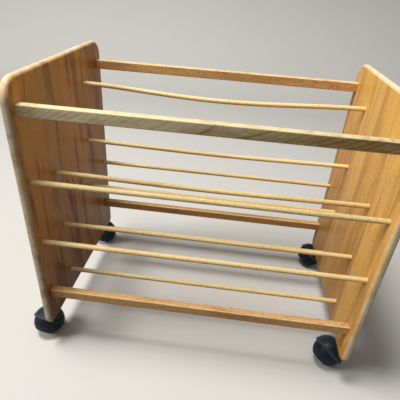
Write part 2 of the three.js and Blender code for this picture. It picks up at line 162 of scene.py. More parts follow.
# The right-end share paints light and shade along a bar: paler at its left end, darker towards its right
# end.
PALE_RAIL_FIGURE = {
    "ring_spacing": 0.010,
    "heart": (0.034, -0.021),
    "lean": 0.5,
    "wander": 0.060,
    "shares": {"rings": 0.36, "streaks": 0.25, "own": 0.3, "flecks": 0.25, "painted_shade_right": 0.65},
}
RED_RAIL_FIGURE = {
    "ring_spacing": 0.006,
    "heart": (0.034, -0.021),
    "lean": 0.06,
    "wander": 0.030,
    "shares": {"rings": 0.35, "streaks": 0.30, "own": 0.45, "flecks": 0.55, "painted_shade_right": 0.0},
}
DOWEL_FIGURE = {
    "ring_spacing": 0.0038,
    "heart": (0.012, 0.02),
    "lean": 0.04,
    "wander": 0.006,
    "shares": {"rings": 0.35, "streaks": 0.30, "own": 0.25, "flecks": 0.35, "painted_shade_right": 0.20},
}
RAIL_TONES = dict(zip(RAILS, (0.05, 0.25, 0.40, 0.62)))
# Painted highlight: the rubbed colour on a rail's top face stands for the light on it, strongest on the top
# rails.
RAIL_TOP_SHEEN = {"top": 0.8, "bottom": 0.12}
DOWEL_TONE_STEP = 0.381966

# Wear of the casters: how far it goes round the rim and the tread, and its share on the caps
RIM_WEAR_DEPTH = 0.006
TREAD_WEAR_ANGLE = 0.2
CAP_WEAR = 0.3

# How far a drill runs past the face it opens
DRILL_OVERRUN = 0.01


# Settings that a user would change


def length(name, description, default):
    return bpy.props.FloatProperty(
        name=name, description=description, default=default, min=0.0, unit="LENGTH", precision=5
    )


def paint(name, description, default):
    return bpy.props.FloatVectorProperty(
        name=name, description=description, default=default, min=0.0, max=1.0, size=3, subtype="COLOR"
    )


class BookBinSizes(bpy.types.PropertyGroup):
    """Sizes of the visible pieces that the CAD boxes don't give."""

    top_corner: length("Top corner", "Radius of a panel's upper corners", 0.045)
    bottom_corner: length("Bottom corner", "Radius of a panel's lower corners", 0.020)
    edge_round: length("Edge round", "Round on the edges of a panel", 0.0075)
    rail_ease: length("Rail ease", "Round on the long edges of a rail", 0.003)
    tenon_shoulder: length("Tenon shoulder", "Step from a rail's face to its tenon", 0.004)
    joint_gap: length("Joint gap", "Gap round a glued or running joint", 0.0003)
    blind_gap: length("Blind gap", "Gap behind a tenon, dowel or socket", 0.0005)
    hood_gap: length("Hood gap", "Space between wheel and hood", 0.0012)
    hood_wall: length("Hood wall", "Thickness of the hood", 0.0024)
    bead_height: length("Bead height", "Rise of a bead on the hood's rim", 0.0014)
    bead_width: length("Bead width", "Width of a bead on the hood's rim", 0.0032)
    socket_radius: length("Socket radius", "Outer radius of a socket's sleeve", 0.0051)
    stem_boss: length("Stem boss", "Radius of the upright boss on the hood", 0.0085)
    stem_seat: length("Stem seat", "Radius of the stem's hole in the hood", 0.0043)
    stem_boss_round: length("Stem boss round", "Round on the stem boss's top", 0.0012)
    axle_boss: length("Axle boss", "Radius of the axle's boss inside the hood", 0.008)
    axle_seat: length("Axle seat", "Radius of the axle's hole in hood and wheel", 0.0043)
    axle_boss_end: length("Axle boss end", "From the wheel's centre to the axle boss's end", 0.004)
    axle_depth: length("Axle depth", "From the wheel's centre to the axle hole's end", 0.0313)
    axle_head: length("Axle head", "Thickness of the axle's head", 0.0026)
    head_recess: length("Head recess", "Radius of the recess for the axle's head", 0.0069)
    wheel_wall: length("Wheel wall", "Thickness of the wheel's cup", 0.0045)
    tread_width: length("Tread width", "Width of the wheel's straight tread", 0.012)
    cap_radius: length("Cap radius", "Radius of the hub cap", 0.011)
    cap_thickness: length("Cap thickness", "From the hub cap's seat to its top", 0.0026)
    cap_proud: length("Cap proud", "Rise of the hub cap above the wheel's face", 0.0012)


class BookBinFinish(bpy.types.PropertyGroup):
    """Colours of the wood and the casters; the left panel's are darkened as painted shade, and the rubbed
    bars' colour also paints a highlight on the tops of rails and dowels.
    """

    # Painted shade: the left panel's colours are darker and redder than the right panel's, for the shade on
    # its inner face.
    left_shaded_light: paint("Left panel shaded light", "Pale wood of the left panel, darkened as painted shade", (0.88, 0.45, 0.102))
    left_shaded_dark: paint("Left panel shaded dark", "Dark grain of the left panel, darkened as painted shade", (0.20, 0.068, 0.010))
    right_light: paint("Right panel light", "Pale wood of the right panel", (0.94, 0.555, 0.130))
    right_dark: paint("Right panel dark", "Dark grain of the right panel", (0.54, 0.25, 0.050))
    grey_board: paint("Grey boards", "Greyer boards in the panels", (0.42, 0.29, 0.15))
    pale_rail: paint("Pale rail", "Pale wood of the top front rail", (0.82, 0.71, 0.47))
    pale_rail_dark: paint("Pale rail dark", "Dark grain of the top front rail", (0.235, 0.138, 0.030))
    red_rail: paint("Red rail", "Pale wood of the other rails", (0.74, 0.44, 0.185))
    red_rail_dark: paint("Red rail dark", "Dark grain of the other rails", (0.34, 0.14, 0.050))
    dowel_light: paint("Dowel light", "Pale wood of the dowels", (0.95, 0.76, 0.38))
    dowel_dark: paint("Dowel dark", "Dark grain of the dowels", (0.66, 0.41, 0.145))
    bare_wood: paint("Bare wood", "Rubbed edges and scuffs of the panels", (0.78, 0.68, 0.52))
    # Painted highlight: this colour lightens the tops of rails and dowels, as well as their rubbed edges.
    rubbed_bar_and_sheen: paint("Rubbed bars and sheen", "Rubbed edges and painted top highlight of the rails and dowels", (0.80, 0.67, 0.39))
    dark_wood: paint("Dark wood", "Flecks, knots and glue lines", (0.13, 0.055, 0.022))
    hood: paint("Hood", "Moulded caster hoods", (0.013, 0.021, 0.028))
    hood_worn: paint("Worn hood", "Rubbed rims of the hoods", (0.085, 0.095, 0.105))
    wheel: paint("Wheel", "Moulded caster wheels", (0.004, 0.008, 0.017))
    wheel_worn: paint("Worn wheel", "Rubbed treads of the wheels", (0.030, 0.036, 0.044))
    cap: paint("Cap", "Hub caps", (0.016, 0.019, 0.026))
    cap_worn: paint("Worn cap", "Rubbed places on the hub caps", (0.08, 0.08, 0.08))
    steel: paint("Steel", "Plated stems, sockets and axles", (0.55, 0.54, 0.52))
    floor: paint("Floor", "Studio floor and backdrop", (0.58, 0.577, 0.570))


def settings(context):
    return context.scene.book_bin_sizes, context.scene.book_bin_finish


# Meshes


def add_object(name, data):
    made = bpy.data.objects.new(name, data)
    bpy.context.scene.collection.objects.link(made)
    return made


def mesh_from(name, points, faces):
    mesh = bpy.data.meshes.new(name)
    mesh.from_pydata(points, [], faces)
    mesh.update()
    return mesh


def skin(name, loops, closed=False):
    """A mesh over successive loops of points, with a cap on each end unless the loops close in a ring."""
    count = len(loops[0])
    points = [point for loop in loops for point in loop]
    spans = len(loops) if closed else len(loops) - 1
    faces = []
    for row in range(spans):
        here = row * count
        after = ((row + 1) % len(loops)) * count
        for i in range(count):
            j = (i + 1) % count
            faces.append((here + i, here + j, after + j, after + i))
    if not closed:
        faces.append(tuple(range(count))[::-1])
        faces.append(tuple(range((len(loops) - 1) * count, len(loops) * count)))
    return mesh_from(name, points, faces)


def face_outward(mesh):
    shape = bmesh.new()
    shape.from_mesh(mesh)
    bmesh.ops.remove_doubles(shape, verts=shape.verts, dist=1e-7)
    bmesh.ops.recalc_face_normals(shape, faces=shape.faces)
    shape.to_mesh(mesh)
    shape.free()
    return mesh


def full_turn(segments):
    return [2 * pi * i / segments for i in range(segments)]


def arc(radius, start, end, steps):
    """Points of a profile on a circle about its origin, as (radius, height)."""
    turns = [start + (end - start) * i / steps for i in range(steps + 1)]
    return [(radius * cos(turn), radius * sin(turn)) for turn in turns]


def lathe(name, profile, segments):
    """A closed body of revolution about Z from a profile of (radius, height) points.

    A profile that starts and ends on the axis closes there, and any other closes on itself."""
    turns = full_turn(segments)
    rings = [[(r * cos(t), r * sin(t), h) for t in turns] for r, h in profile]
    return face_outward(skin(name, rings, closed=profile[0][0] > 0))


def round_bar(name, radius, low, high, segments):
    """A plain round bar about Z, which bores a hole."""
    return lathe(name, [(0.0, low), (radius, low), (radius, high), (0.0, high)], segments)


def cross_bar(name, section, reach):
    """A bar along X with a section of (y, z) points, which cuts a hole in each panel."""
    return face_outward(skin(name, [[(x, y, z) for y, z in section] for x in (-reach, reach)]))


def carve(name, body, tool, operation):
    """The mesh of body joined with, or cut by, the mesh of tool."""
    kept = add_object(name, body)
    other = add_object(name + "_tool", tool)
    cut = kept.modifiers.new("Carve", "BOOLEAN")
    cut.operation = operation
    cut.solver = "EXACT"
    cut.object = other
    view = bpy.context.evaluated_depsgraph_get()
    made = bpy.data.meshes.new_from_object(kept.evaluated_get(view))
    made.name = name
    for done in (kept, other):
        bpy.data.objects.remove(done)
    if not made.polygons:
        raise RuntimeError(f"nothing is left of {name} after its {operation.lower()}")
    return made


def joined(name, meshes):
    shape = bmesh.new()
    for mesh in meshes:
        shape.from_mesh(mesh)
    made = bpy.data.meshes.new(name)
    shape.to_mesh(made)
    shape.free()
    return made


def smooth(mesh, angle=radians(35)):
    mesh.shade_smooth()
    mesh.set_sharp_from_angle(angle=angle)


def set_values(mesh, name, values):
    """Stores one number, or one vector, for each vertex under a name that the materials read."""
    if isinstance(values[0], float):
        mesh.attributes.new(name, "FLOAT", "POINT").data.foreach_set("value", values)
    else:
        flat = [number for vector in values for number in vector]
        mesh.attributes.new(name, "FLOAT_VECTOR", "POINT").data.foreach_set("vector", flat)


def stand_for(mesh, node, body, material, flat_faces=False):
    """Puts a mesh in a node's place; flat faces are kept flat beside rounded edges."""
    piece = add_object(node + "_visual", mesh)
    if flat_faces:
        piece.modifiers.new("Even normals", "WEIGHTED_NORMAL").keep_sharp = True
    mesh.materials.append(material)
    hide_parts(node)
    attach(piece, body)


# Material building


def feed(tree, node, inputs):
    """Feeds a node's inputs from values or from other nodes' sockets."""
    for name, value in inputs.items():
        if isinstance(value, bpy.types.NodeSocket):
            tree.links.new(value, node.inputs[name])
        else:
            node.inputs[name].default_value = value


def put(tree, kind, inputs=None, **options):
    """Adds a node, sets its options and feeds its inputs."""
    made = tree.nodes.new(kind)
    for name, value in options.items():
        setattr(made, name, value)
    feed(tree, made, inputs or {})
    return made


def calc(tree, operation, first, second=0.0, clamp=False):
    inputs = {0: first, 1: second}
    return put(tree, "ShaderNodeMath", inputs, operation=operation, use_clamp=clamp).outputs[0]


def add(tree, first, second, clamp=False):
    return calc(tree, "ADD", first, second, clamp)


def scale(tree, value, share):
    return calc(tree, "MULTIPLY", value, share)


def vector_calc(tree, operation, first, second):
    return put(tree, "ShaderNodeVectorMath", {0: first, 1: second}, operation=operation).outputs[0]


def stretch(tree, place, scales):
    return vector_calc(tree, "MULTIPLY", place, scales)


def gather(tree, *parts):
    return put(tree, "ShaderNodeCombineXYZ", dict(enumerate(parts))).outputs[0]


def noise(tree, place, size=1.0, detail=2.0, rough=0.5):
    inputs = {"Vector": place, "Scale": size, "Detail": detail, "Roughness": rough}
    return put(tree, "ShaderNodeTexNoise", inputs).outputs[0]


def remap(tree, value, low, high, to_low=0.0, to_high=1.0):
    """Turns one range into another by a smooth step that stays inside it."""
    inputs = {"Value": value, "From Min": low, "From Max": high, "To Min": to_low, "To Max": to_high}
    return put(tree, "ShaderNodeMapRange", inputs, interpolation_type="SMOOTHSTEP").outputs[0]


def draw_from(tree, chance, bounds):
    """A value between two bounds, drawn by a chance from 0 to 1."""
    return remap(tree, chance, 0.0, 1.0, *bounds)


def blend(tree, factor, first, second):
    return put(tree, "ShaderNodeMix", {0: factor, 6: first, 7: second}, data_type="RGBA").outputs[2]


def bump(tree, height, strength, distance):
    inputs = {"Strength": strength, "Distance": distance, "Height": height}
    return put(tree, "ShaderNodeBump", inputs).outputs[0]


def rgba(color, tone=1.0):
    return (*(tone * channel for channel in color), 1.0)


def attribute(tree, name, output="Fac"):
    return put(tree, "ShaderNodeAttribute", attribute_name=name).outputs[output]


def object_place(tree):
    return put(tree, "ShaderNodeTexCoord").outputs["Object"]


def start_group(name, inputs, outputs):
    """An empty shader node group with named sockets; inputs are (name, kind, default)."""
    group = bpy.data.node_groups.new(name, "ShaderNodeTree")
    for label, kind, default in inputs:
        socket = group.interface.new_socket(name=label, in_out="INPUT", socket_type="NodeSocket" + kind)
        if default is not None:
            socket.default_value = default
    for label in outputs:
        group.interface.new_socket(name=label, in_out="OUTPUT", socket_type="NodeSocketFloat")
    return group, group.nodes.new("NodeGroupInput").outputs, group.nodes.new("NodeGroupOutput")


def grain_group():
    """Growth rings, streaks, flecks and knots of wood, from a place along, across and through it."""
    known = bpy.data.node_groups.get("Wood grain")
    if known:
        return known
    tree, given, result = start_group(
        "Wood grain",
        [
            ("Place", "Vector", None),
            ("Seed", "Float", 0.0),
            ("Ring spacing", "Float", 0.005),
            ("Heart across", "Float", 0.03),
            ("Heart depth", "Float", 0.04),
            ("Lean", "Float", 0.04),
            ("Wander", "Float", 0.012),
        ],
        ["Rings", "Streaks", "Flecks", "Knots"],
    )
    shift = gather(tree, *(scale(tree, given["Seed"], share) for share in SEED_SHIFT))
    place = vector_calc(tree, "ADD", given["Place"], shift)
    bends = {"Vector": stretch(tree, place, BEND_SCALE), "Scale": 1.0, "Detail": 2.0}
    bent = put(tree, "ShaderNodeTexNoise", bends).outputs["Color"]
    offset = vector_calc(tree, "SUBTRACT", bent, (0.5, 0.5, 0.5))
    pulled = put(tree, "ShaderNodeVectorMath", {0: offset, "Scale": given["Wander"]}, operation="SCALE")
    pull = pulled.outputs[0]
    wavy = vector_calc(tree, "ADD", place, pull)
    bowed = put(tree, "ShaderNodeSeparateXYZ", {0: vector_calc(tree, "ADD", given["Place"], pull)}).outputs
    across = calc(tree, "SUBTRACT", bowed[1], given["Heart across"])
    heart = add(tree, given["Heart depth"], scale(tree, bowed[0], given["Lean"]))
    depth = calc(tree, "SUBTRACT", bowed[2], heart)
    squares = add(tree, scale(tree, across, across), scale(tree, depth, depth))
    years = calc(tree, "DIVIDE", calc(tree, "SQRT", squares), given["Ring spacing"])
    season = calc(tree, "FRACT", years)
    year = add(tree, calc(tree, "FLOOR", years), given["Seed"])
    growth = put(tree, "ShaderNodeTexWhiteNoise", {"W": year}, noise_dimensions="1D").outputs[0]
    late = scale(tree, remap(tree, season, *LATE_WOOD), remap(tree, season, *RING_END))
    streaks = noise(tree, stretch(tree, wavy, STREAK_SCALE), detail=3.0, rough=0.55)
    pores = remap(tree, noise(tree, stretch(tree, place, PORE_SCALE)), *PORE_RANGE)
    cells = {"Vector": stretch(tree, place, KNOT_SCALE), "Scale": 1.0}
    knot = put(tree, "ShaderNodeTexVoronoi", cells).outputs
    chance = put(tree, "ShaderNodeSeparateColor", {0: knot["Color"]}).outputs[0]
    near_knot = remap(tree, knot["Distance"], *KNOT_EDGE)
    marks = {
        "Rings": scale(tree, late, draw_from(tree, growth, RING_STRENGTH)),
        "Streaks": remap(tree, streaks, *STREAK_RANGE),
        "Flecks": scale(tree, pores, remap(tree, season, *PORE_SEASON)),
        "Knots": scale(tree, near_knot, remap(tree, chance, *KNOT_CHANCE)),
    }
    feed(tree, result, marks)
    return tree


def wear_group():
    """Rubbed patches along the edges that Edge gives (on rails and dowels also their painted top
    highlight), thin scattered scuffs and cloudy gloss.
    """
    known = bpy.data.node_groups.get("Handling wear")
    if known:
        return known
    tree, given, result = start_group(
        "Handling wear",
        [("Place", "Vector", None), ("Edge", "Float", 0.0), ("Seed", "Float", 0.0)],
        ["Rubbed", "Scuffs", "Cloudy"],
    )
    place = vector_calc(tree, "ADD", given["Place"], gather(tree, *[given["Seed"]] * 3))
    patch = noise(tree, place, size=34.0, detail=3.0, rough=0.6)
    scuffs = noise(tree, stretch(tree, place, SCUFF_SCALE), detail=3.0, rough=0.65)
    marks = {
        "Rubbed": scale(tree, remap(tree, patch, *PATCH_RANGE, *PATCH_STRENGTH), given["Edge"]),
        "Scuffs": remap(tree, scuffs, *SCUFF_RANGE),
        "Cloudy": noise(tree, place, size=9.0, detail=3.0, rough=0.55),
    }
    feed(tree, result, marks)
    return tree


def new_material(name):
    material = bpy.data.materials.new(name)
    material.use_nodes = True
    tree = material.node_tree
    return material, tree, tree.nodes["Principled BSDF"]


def place_group(tree, group, inputs):
    return put(tree, "ShaderNodeGroup", inputs, node_tree=group).outputs


def wear_marks(tree, place, seed):
    edge = attribute(tree, "wear_and_top_sheen")
    return place_group(tree, wear_group(), {"Place": place, "Edge": edge, "Seed": seed})


def lacquer(tree, shader, wood, dark, bare, grain, wear, fleck_share):
    """Clear semi-gloss lacquer over wood: flecks, knots, rubbed edges (on rails and dowels also a painted
    highlight on their tops), scuffs and a little relief.
    """
    color = wood
    for mark, share, mark_color in (
        (grain["Flecks"], fleck_share, dark),
        (grain["Knots"], KNOT_SHARE, dark),
        # On rails and dowels the rubbed mask also holds the painted highlight on their tops.
        (wear["Rubbed"], RUBBED_AND_SHEEN_SHARE, bare),
        (wear["Scuffs"], SCUFF_SHARE, bare),
    ):
        color = blend(tree, scale(tree, mark, share), color, rgba(mark_color))
    dull = add(tree, scale(tree, wear["Cloudy"], CLOUDY_ROUGH), LACQUER_ROUGH)
    rings, pores = scale(tree, grain["Rings"], RING_RELIEF), scale(tree, grain["Flecks"], PORE_RELIEF)
    finish = {
        "Base Color": color,
        "Roughness": add(tree, dull, scale(tree, wear["Scuffs"], SCUFF_ROUGH)),
        "Specular IOR Level": 0.13,
        "Coat Weight": draw_from(tree, wear["Rubbed"], COAT_RANGE),
        "Coat Roughness": 0.20,
        "Normal": bump(tree, calc(tree, "SUBTRACT", rings, pores), strength=0.35, distance=0.0002),
    }
    feed(tree, shader, finish)


def panel_wood(name, finish, light, dark, board_width, seed, shares):
    """Boards glued edge to edge, with upright grain; each has its own tone, heart and rings, and the panel
    darkens towards its foot as painted shade.
    """
    material, tree, shader = new_material(name)
    place = attribute(tree, "grain_place", "Vector")
    height, width, depth = put(tree, "ShaderNodeSeparateXYZ", {0: place}).outputs
    boards_over = add(tree, calc(tree, "DIVIDE", width, board_width), seed)
    boards = {"W": boards_over, "Scale": 1.0, "Randomness": BOARD_SPREAD}
    board = put(tree, "ShaderNodeTexVoronoi", boards, voronoi_dimensions="1D").outputs
    joint = put(tree, "ShaderNodeTexVoronoi", boards, voronoi_dimensions="1D", feature="DISTANCE_TO_EDGE")
    tone, turn, draw = put(tree, "ShaderNodeSeparateColor", {0: board["Color"]}).outputs
    in_board = scale(tree, calc(tree, "SUBTRACT", boards_over, board["W"]), board_width)
    figure = {
        "Place": gather(tree, height, in_board, depth),
        "Seed": scale(tree, draw, BOARD_SEEDS),
        "Ring spacing": draw_from(tree, turn, BOARD_RINGS),
        "Heart across": draw_from(tree, tone, BOARD_HEART),
        "Heart depth": draw_from(tree, draw, BOARD_HEART_DEPTH),
        "Lean": draw_from(tree, turn, BOARD_LEAN),
        "Wander": BOARD_WANDER,
    }
    grain = place_group(tree, grain_group(), figure)
    wear = wear_marks(tree, place, seed)
    masks = {
        "rings": grain["Rings"],
        "streaks": grain["Streaks"],
        "board": tone,
        "back": remap(tree, width, PANEL_LOW.y, PANEL_HIGH.y),
        # Painted shade: darker towards the panel's foot.
        "down": remap(tree, height, PANEL_HIGH.z, PANEL_LOW.z),
    }
    darkness = 0.0
    for mask, share in shares.items():
        darkness = add(tree, darkness, scale(tree, masks[mask], share), clamp=True)
    wood = blend(tree, darkness, rgba(light), rgba(dark))
    grey = blend(tree, remap(tree, turn, *GREY_CHANCE, *GREY_RANGE), wood, rgba(finish.grey_board))
    line = scale(tree, remap(tree, joint.outputs["Distance"], *GLUE_LINE), GLUE_SHARE)
    glued = blend(tree, line, grey, rgba(finish.dark_wood))
    lacquer(tree, shader, glued, finish.dark_wood, finish.bare_wood, grain, wear, BOARD_FLECKS)
    return material


def bar_wood(name, finish, light, dark, ring_spacing, heart, lean, wander, shares):
    """Wood of one stick, with its grain along it, painted shade towards its right end and a painted
    highlight on its top.
    """
    material, tree, shader = new_material(name)
    place = attribute(tree, "grain_place", "Vector")
    own = attribute(tree, "own_tone")
    figure = {
        "Place": place,
        "Seed": scale(tree, own, STICK_SEEDS),
        "Ring spacing": ring_spacing,
        "Heart across": heart[0],
        "Heart depth": heart[1],
        "Lean": lean,
        "Wander": wander,
    }
    grain = place_group(tree, grain_group(), figure)
    wear = wear_marks(tree, place, own)
    rings = scale(tree, grain["Rings"], shares["rings"])
    streaks = scale(tree, grain["Streaks"], shares["streaks"])
    along = put(tree, "ShaderNodeSeparateXYZ", {0: place}).outputs[0]
    # Painted light and shade: paler at the left end, darker towards the right end.
    painted_fade = remap(tree, along, -INNER_FACE, INNER_FACE, 0.0, shares["painted_shade_right"])
    toned = add(tree, scale(tree, own, shares["own"]), painted_fade)
    darkness = add(tree, add(tree, rings, streaks), toned, clamp=True)
    wood = blend(tree, darkness, rgba(light), rgba(dark))
    lacquer(tree, shader, wood, finish.dark_wood, finish.rubbed_bar_and_sheen, grain, wear, shares["flecks"])
    return material


def moulded(name, color, worn_color, gloss, tint=1.6, tint_share=0.5, worn_share=0.55, dulling=0.2):
    """Dark moulded plastic with a fine grain, dull patches and grey scuffs where it is worn."""
    material, tree, shader = new_material(name)
    place = object_place(tree)
    wear = wear_marks(tree, place, PLASTIC_SEED)
    tinted = blend(tree, scale(tree, wear["Cloudy"], tint_share), rgba(color), rgba(color, tint))
    rough = add(tree, scale(tree, wear["Cloudy"], dulling), gloss)
    finish = {
        "Base Color": blend(tree, scale(tree, wear["Rubbed"], worn_share), tinted, rgba(worn_color)),
        "Roughness": add(tree, rough, scale(tree, wear["Rubbed"], dulling)),
        "Specular IOR Level": 0.15,
        "Normal": bump(tree, noise(tree, place, size=900.0), strength=0.25, distance=0.0002),
    }
    feed(tree, shader, finish)
    return material


def plated_steel(name, color, spot_tone=0.6, spot_range=(0.5, 0.75), rough=0.22, turned_rough=0.2):
    """Plated steel with fine turning lines and dull spots."""
    material, tree, shader = new_material(name)
    place = object_place(tree)
    turned = noise(tree, stretch(tree, place, TURNING_SCALE))
    spots = remap(tree, noise(tree, place, size=160.0, detail=3.0, rough=0.6), *spot_range)
    finish = {
        "Base Color": blend(tree, spots, rgba(color), rgba(color, spot_tone)),
        "Metallic": 1.0,
        "Roughness": add(tree, scale(tree, turned, turned_rough), rough),
        "Normal": bump(tree, turned, strength=0.2, distance=0.0001),
    }
    feed(tree, shader, finish)
    return material


def seen_rays(tree):
    """One for rays that show the background to the eye, straight or mirrored, and zero for its light."""
    rays = put(tree, "ShaderNodeLightPath").outputs
    mirrored = calc(tree, "MAXIMUM", rays["Is Glossy Ray"], rays["Is Transmission Ray"])
    return calc(tree, "MAXIMUM", rays["Is Camera Ray"], mirrored)


def studio_surface(name, color, mottle_tone=0.97):
    """Matt paper with a faint mottle: pale to the eye and in reflections, with a dull bounce."""
    material, tree, shader = new_material(name)
    mottle = noise(tree, object_place(tree), size=3.0, detail=3.0)
    pale = blend(tree, mottle, rgba(color), rgba(color, mottle_tone))
    shown = blend(tree, seen_rays(tree), rgba(color, FLOOR_BOUNCE), pale)
    feed(tree, shader, {"Base Color": shown, "Roughness": 0.9})
    return material


# Side panels


def outline_loop(inset, sizes, steps=14):
    """A panel's outline in Y and Z, drawn in by inset, with its corners as arcs."""
    low_y, high_y = PANEL_LOW.y + inset, PANEL_HIGH.y - inset
    low_z, high_z = PANEL_LOW.z + inset, PANEL_HIGH.z - inset
    top = sizes.top_corner - inset
    bottom = sizes.bottom_corner - inset
    corners = (
        (high_y - top, high_z - top, top),
        (low_y + top, high_z - top, top),
        (low_y + bottom, low_z + bottom, bottom),
        (high_y - bottom, low_z + bottom, bottom),
    )
    loop = []
    for turn, (centre_y, centre_z, radius) in enumerate(corners):
        for y, z in arc(radius, turn * QUARTER, (turn + 1) * QUARTER, steps):
            loop.append((centre_y + y, centre_z + z))
    return loop


def depth_in_outline(y, z, sizes):
    """How far a point lies inside a panel's outline."""
    middle_y = (PANEL_LOW.y + PANEL_HIGH.y) / 2
    middle_z = (PANEL_LOW.z + PANEL_HIGH.z) / 2
    radius = sizes.top_corner if z > middle_z else sizes.bottom_corner
    over_y = abs(y - middle_y) - (PANEL_HIGH.y - PANEL_LOW.y) / 2 + radius
    over_z = abs(z - middle_z) - (PANEL_HIGH.z - PANEL_LOW.z) / 2 + radius
    return radius - hypot(max(over_y, 0.0), max(over_z, 0.0)) - min(max(over_y, over_z), 0.0)


def panel_blank(name, middle, sizes, steps=8):
    """A panel with rounded edges, before its joints are cut."""
    half, edge = PANEL_THICKNESS / 2, sizes.edge_round
    sweep = [QUARTER * i / steps for i in range(steps + 1)]
    layers = [(edge * (1 - cos(t)) - half, edge * (1 - sin(t))) for t in sweep]
    layers += [(-x, inset) for x, inset in reversed(layers)]
    loops = [[(middle + x, y, z) for y, z in outline_loop(inset, sizes)] for x, inset in layers]
    return face_outward(skin(name, loops))


def dowel_facts(node):
    """A dowel's radius, its row, the height of its straight ends and its sag, from its CAD box."""
    low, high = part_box(node)
    radius = (high.y - low.y) / 2
    return radius, (low.y + high.y) / 2, high.z - radius, high.z - low.z - 2 * radius


def dowel_hole(node, sizes, segments=40):
    radius, y, z, _ = dowel_facts(node)
    wall = radius + sizes.joint_gap
    section = [(y + wall * cos(t), z + wall * sin(t)) for t in full_turn(segments)]
    return cross_bar("hole", section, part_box(node)[1].x + sizes.blind_gap)


def mortise(node, sizes):
    low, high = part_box(node)
    inset = Vector((0.0, 1.0, 1.0)) * (sizes.tenon_shoulder - sizes.joint_gap)
    low, high = low + inset, high - inset
    section = [(low.y, low.z), (high.y, low.z), (high.y, high.z), (low.y, high.z)]
    return cross_bar("mortise", section, high.x + sizes.blind_gap)


def socket_hole(corner, sizes, segments=32):
    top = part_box("caster_socket_" + corner)[1].z + sizes.blind_gap
    x, y, _ = JOINTS[corner + "_caster_swivel"]["pos_m"]
    wall = sizes.socket_radius + sizes.joint_gap
    mesh = round_bar("drill", wall, PANEL_LOW.z - DRILL_OVERRUN, top, segments)
    mesh.transform(Matrix.Translation((x, y, 0.0)))
    return mesh


def joinery(sizes):
    """Every hole in the panels: for the dowels, the rails' tenons and the caster sockets."""
    tools = [dowel_hole(node, sizes) for node in DOWELS]
    tools += [mortise(node, sizes) for node in RAILS]
    tools += [socket_hole(corner, sizes) for corner in CORNERS]
    return joined("joinery", tools)


class BOOKBIN_OT_side_panels(bpy.types.Operator):
    """Build the two rounded side panels of edge-glued boards"""

    bl_idname = "book_bin.side_panels"
    bl_label = "Side panels"

    def execute(self, context):
        sizes, finish = settings(context)
        # The left panel takes its wood colours darkened as painted shade.
        left = (finish.left_shaded_light, finish.left_shaded_dark)
        right = (finish.right_light, finish.right_dark)
        looks = {
            "left_side_panel": panel_wood("Left panel shaded wood", finish, *left, **LEFT_FIGURE),
            "right_side_panel": panel_wood("Right panel wood", finish, *right, **RIGHT_FIGURE),
        }
        for node, side in zip(PANELS, (-1, 1)):
            middle = side * PANEL_MIDDLE
            mesh = carve(node + "_visual", panel_blank(node, middle, sizes), joinery(sizes), "DIFFERENCE")
            places = [vertex.co.copy() for vertex in mesh.vertices]
            set_values(mesh, "grain_place", [(p.z, p.y, p.x - middle) for p in places])
            edges = [1 - depth_in_outline(p.y, p.z, sizes) / sizes.edge_round for p in places]
            set_values(mesh, "wear_and_top_sheen", [min(1.0, max(0.0, edge)) for edge in edges])
            smooth(mesh)
            stand_for(mesh, node, ROOT, looks[node], flat_faces=True)
        return {"FINISHED"}


# Rails


def finish_stick(mesh, places, wear, tone):
    """Stores the grain, the wear with its painted top highlight, and the tone of a rail or dowel, and
    smooths it.
    """
    set_values(mesh, "grain_place", places)
    set_values(mesh, "wear_and_top_sheen", wear)
    set_values(mesh, "own_tone", [tone] * len(places))
    smooth(face_outward(mesh))


def eased_section(half_y, half_z, ease, painted_top_sheen=0.0, steps=5):
    """A rectangle with eased corners, worn edges and a painted highlight on its top, as (y, z, wear and
    highlight) points.
    """
    section = []
    for turn, (sign_y, sign_z) in enumerate(((1, 1), (-1, 1), (-1, -1), (1, -1))):
        for i in range(steps + 1):
            angle = (turn + i / steps) * QUARTER
            y = sign_y * (half_y - ease) + ease * cos(angle)
            z = sign_z * (half_z - ease) + ease * sin(angle)
            # Painted highlight on the top face, stored with the edge wear.
            sheen_on_top = painted_top_sheen * max(0.0, sin(angle)) ** 4
            section.append((y, z, max(sin(pi * i / steps), sheen_on_top)))
    return section


def rail_mesh(node, sizes, painted_top_sheen):
    """An eased bar between the panels, stepped down to a tenon at each end, with its grain, its wear and a
    painted highlight on its top.
    """
    low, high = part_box(node)
    centre = (low + high) / 2
    half_y, half_z = (high.y - low.y) / 2, (high.z - low.z) / 2
    shoulder = INNER_FACE - sizes.joint_gap
    bar = eased_section(half_y, half_z, sizes.rail_ease, painted_top_sheen)
    tenon = eased_section(half_y - sizes.tenon_shoulder, half_z - sizes.tenon_shoulder, sizes.joint_gap)
    half = [(shoulder, bar), (shoulder, tenon), (high.x, tenon)]
    stations = [(-x, section) for x, section in reversed(half)] + half
    loops = [[(x, centre.y + y, centre.z + z) for y, z, _ in section] for x, section in stations]
    wear = [value if section is bar else 0.0 for _, section in stations for _, _, value in section]
    mesh = skin(node + "_visual", loops)
    return mesh, [tuple(vertex.co - centre) for vertex in mesh.vertices], wear


class BOOKBIN_OT_rails(bpy.types.Operator):
    """Build the four eased rails with their stub tenons"""

    bl_idname = "book_bin.rails"
    bl_label = "Rails"

    def execute(self, context):
        sizes, finish = settings(context)
        colors = (finish.pale_rail, finish.pale_rail_dark)
        pale = bar_wood("Pale rail wood", finish, *colors, **PALE_RAIL_FIGURE)
        colors = (finish.red_rail, finish.red_rail_dark)
        red = bar_wood("Red rail wood", finish, *colors, **RED_RAIL_FIGURE)
        for node in RAILS:
            mesh, places, wear = rail_mesh(node, sizes, RAIL_TOP_SHEEN[node.split("_")[0]])
            finish_stick(mesh, places, wear, RAIL_TONES[node])
            wood = pale if node == "top_front_rail" else red
            stand_for(mesh, node, ROOT, wood, flat_faces=True)
        return {"FINISHED"}


# Dowels


